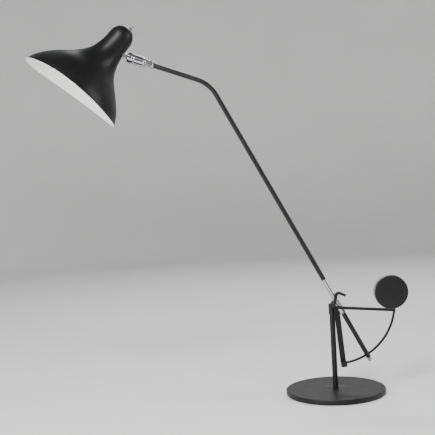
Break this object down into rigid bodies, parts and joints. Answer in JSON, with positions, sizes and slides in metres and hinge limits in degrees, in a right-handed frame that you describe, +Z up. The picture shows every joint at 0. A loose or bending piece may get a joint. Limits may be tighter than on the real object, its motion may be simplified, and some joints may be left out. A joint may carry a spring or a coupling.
{
  "type": "architect desk lamp",
  "caption": "Counterweighted desk lamp: round base, post, tilting frame with a curved arc, bent arm, ball-jointed flared shade.",
  "frame": {"origin": "centre of the underside of the round base, on the table", "axes": "+Z up, the front of the lamp faces -Y, the shade is on the -X side and the counterweight on the +X side"},
  "size_m": [0.8022, 0.2598, 0.8358],
  "materials": {
    "rubber_pad": "matt",
    "black_powder": "satin fine texture",
    "black_weight": "satin, with a brighter turned rim",
    "black_tube": "semi-gloss",
    "shade_black": "satin black outside, white inside",
    "zinc_steel": "plain",
    "chrome": "polished",
    "dark_chrome": "polished",
    "white_nylon": "matt",
    "black_plastic": "matt",
    "white_plastic": "satin",
    "brass": "plain",
    "opal_glass": "opal"
  },
  "bodies": {
    "base": {"base_pad": "rubber_pad", "base_plate": "black_powder", "post": "black_powder", "post_screw": "zinc_steel"},
    "swivel": {"collar": "black_powder", "swivel_bush": "black_plastic", "collar_set_screw": "zinc_steel"},
    "frame": {"pivot_washers": "black_plastic", "leg": "black_powder", "leg_foot": "black_powder", "foot_screws": "zinc_steel", "arc_strip": "black_powder", "bar_hook": "black_powder", "corner_block": "black_powder", "corner_screws": "zinc_steel", "counterweight": "black_weight", "weight_screw": "zinc_steel"},
    "arm": {"pivot_screw": "zinc_steel", "pivot_spring_washer": "zinc_steel", "sleeve": "chrome", "sleeve_ring": "chrome", "sleeve_set_screws": "zinc_steel", "arm_lug": "black_powder", "lower_tube": "black_tube", "cable_gland": "black_plastic", "upper_tube": "black_tube", "arm_end": "black_tube", "tube_nut": "chrome", "arm_stem": "zinc_steel", "swivel_nut": "zinc_steel"},
    "clamp": {"clamp_screw": "chrome"},
    "coupling": {"coupling_body": "chrome", "ball_seat": "white_nylon", "socket_cap": "chrome"},
    "stud": {"ball_stud": "chrome", "stud_locknut": "chrome", "stud_spring_washer": "zinc_steel", "stud_nut": "zinc_steel"},
    "head": {"shade": "shade_black", "shade_seat": "chrome", "holder_bracket": "zinc_steel", "lamp_holder": "white_plastic", "holder_contact": "brass", "bulb_cap": "brass", "bulb_glass": "opal_glass", "switch_body": "black_plastic", "switch_nut": "dark_chrome"},
    "toggle": {"toggle_lever": "dark_chrome"}
  },
  "joints": [
    {"name": "base_swivel", "type": "hinge", "parent": "base", "child": "swivel", "pos_m": [0, 0, 0.186], "axis": [0, 0, 1], "continuous": true},
    {"name": "frame_tilt", "type": "hinge", "parent": "swivel", "child": "frame", "pos_m": [0.0048, -0.011, 0.2006], "axis": [0, 1, 0], "range_deg": [-10, 18]},
    {"name": "arm_angle", "type": "hinge", "parent": "frame", "child": "arm", "pos_m": [0.0048, -0.016, 0.2006], "axis": [0, 1, 0], "range_deg": [-28, 12]},
    {"name": "clamp_turn", "type": "hinge", "parent": "arm", "child": "clamp", "pos_m": [0.07423, -0.024, 0.07889], "axis": [-0.4587, 0, 0.8886], "range_deg": [-180, 180]},
    {"name": "head_swivel", "type": "hinge", "parent": "arm", "child": "coupling", "pos_m": [-0.39281, -0.024, 0.75475], "axis": [-0.9351, 0, 0.3545], "range_deg": [-90, 90]},
    {"name": "head_tilt", "type": "hinge", "parent": "coupling", "child": "stud", "pos_m": [-0.41768, -0.024, 0.76418], "axis": [0, 1, 0], "range_deg": [-44, 19]},
    {"name": "head_spin", "type": "hinge", "parent": "stud", "child": "head", "pos_m": [-0.4311, -0.024, 0.7729], "axis": [-0.8387, 0, 0.5446], "range_deg": [-90, 90]},
    {"name": "toggle_throw", "type": "hinge", "parent": "head", "child": "toggle", "pos_m": [-0.41298, -0.01794, 0.82767], "axis": [-0.0588, 0.9942, -0.0906], "range_deg": [-20, 0]}
  ]
}
